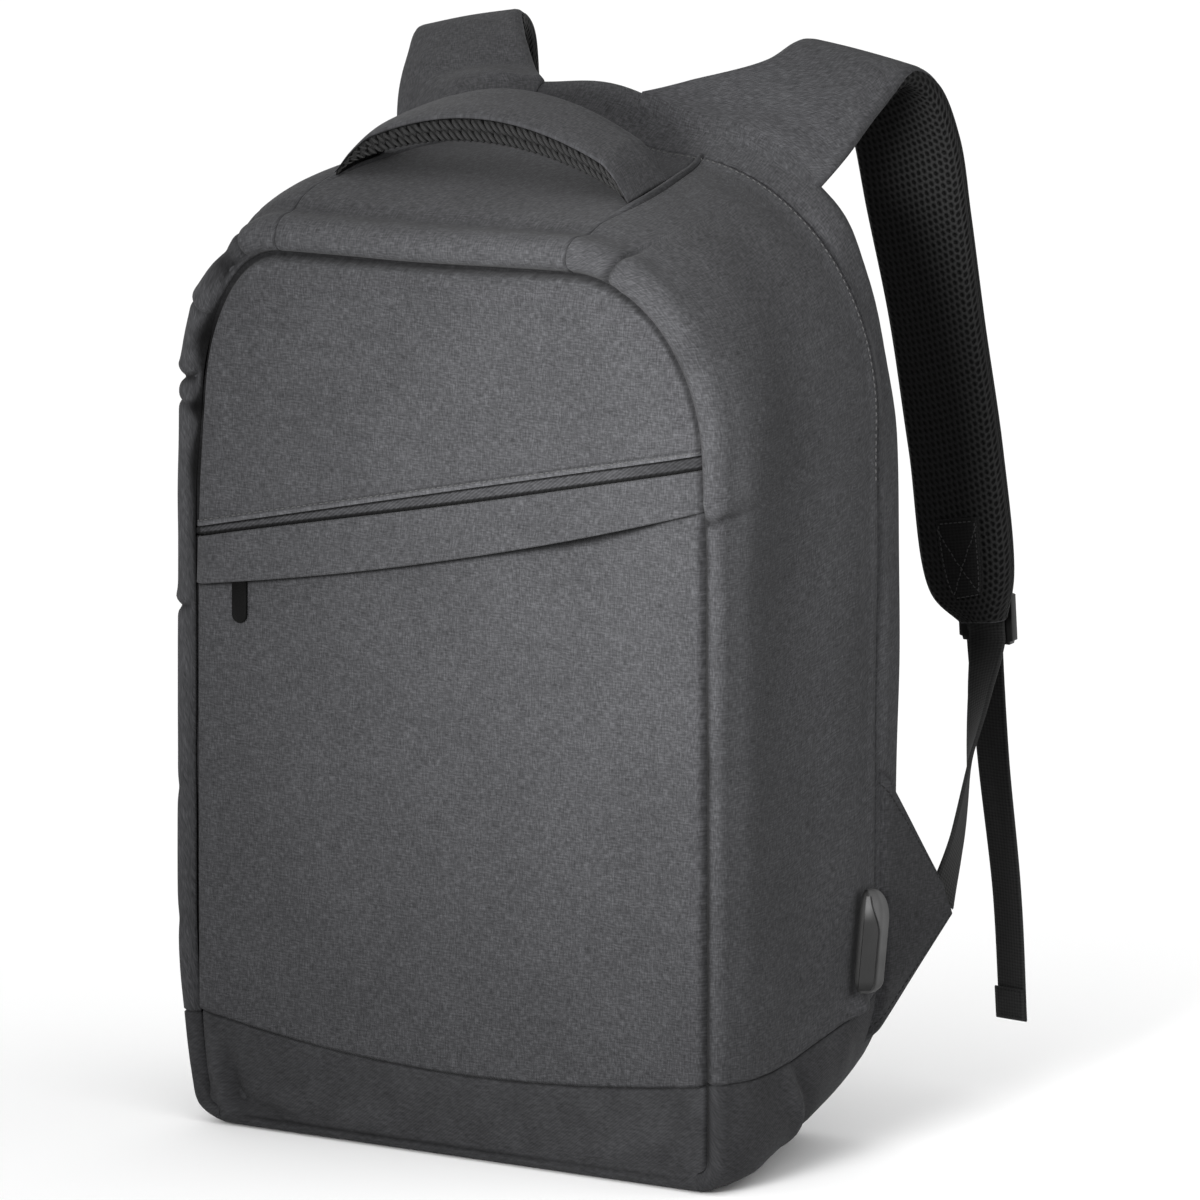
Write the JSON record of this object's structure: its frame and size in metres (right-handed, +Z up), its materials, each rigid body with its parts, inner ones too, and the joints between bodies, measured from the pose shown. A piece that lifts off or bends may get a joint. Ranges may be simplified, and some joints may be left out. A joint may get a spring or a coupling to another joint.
{
  "type": "backpack",
  "caption": "Upright fabric backpack with a slanted front pocket, a padded grab handle, padded shoulder straps with ladder locks and a port on one side.",
  "frame": {"origin": "middle of the flat base the backpack stands on", "axes": "+Z up, the front with the slanted pocket faces -Y, +X to the right as seen from the front"},
  "size_m": [0.3128, 0.2631, 0.4825],
  "materials": {
    "melange": "matte melange weave",
    "twill": "matte twill",
    "mesh": "matte spacer mesh",
    "webbing": "matte woven webbing",
    "tape": "matte woven tape",
    "plastic": "satin moulded",
    "rubber": "satin moulded"
  },
  "bodies": {
    "root": {"side_right": "melange", "side_left": "melange", "top_gusset": "melange", "base_side_right": "twill", "base_side_left": "twill", "base_bottom": "twill", "back_band": "melange", "front_panel_upper": "melange", "pocket_tape": "tape", "pocket_flap": "melange", "front_panel_lower": "melange", "zip_puller": "plastic", "base_front": "twill", "main_zip": "webbing", "back_panel": "mesh", "handle_mesh": "mesh", "handle_top": "melange", "strap_right": "melange", "strap_mesh_right": "mesh", "strap_patch_right": "webbing", "strap_left": "melange", "strap_mesh_left": "mesh", "strap_patch_left": "webbing", "wing_right": "melange", "wing_left": "melange", "webbing_right": "webbing", "webbing_left": "webbing", "tail_right": "webbing", "tail_left": "webbing", "ladder_lock_right": "plastic", "ladder_lock_left": "plastic", "port_frame": "rubber", "port_cover": "rubber"}
  },
  "joints": []
}
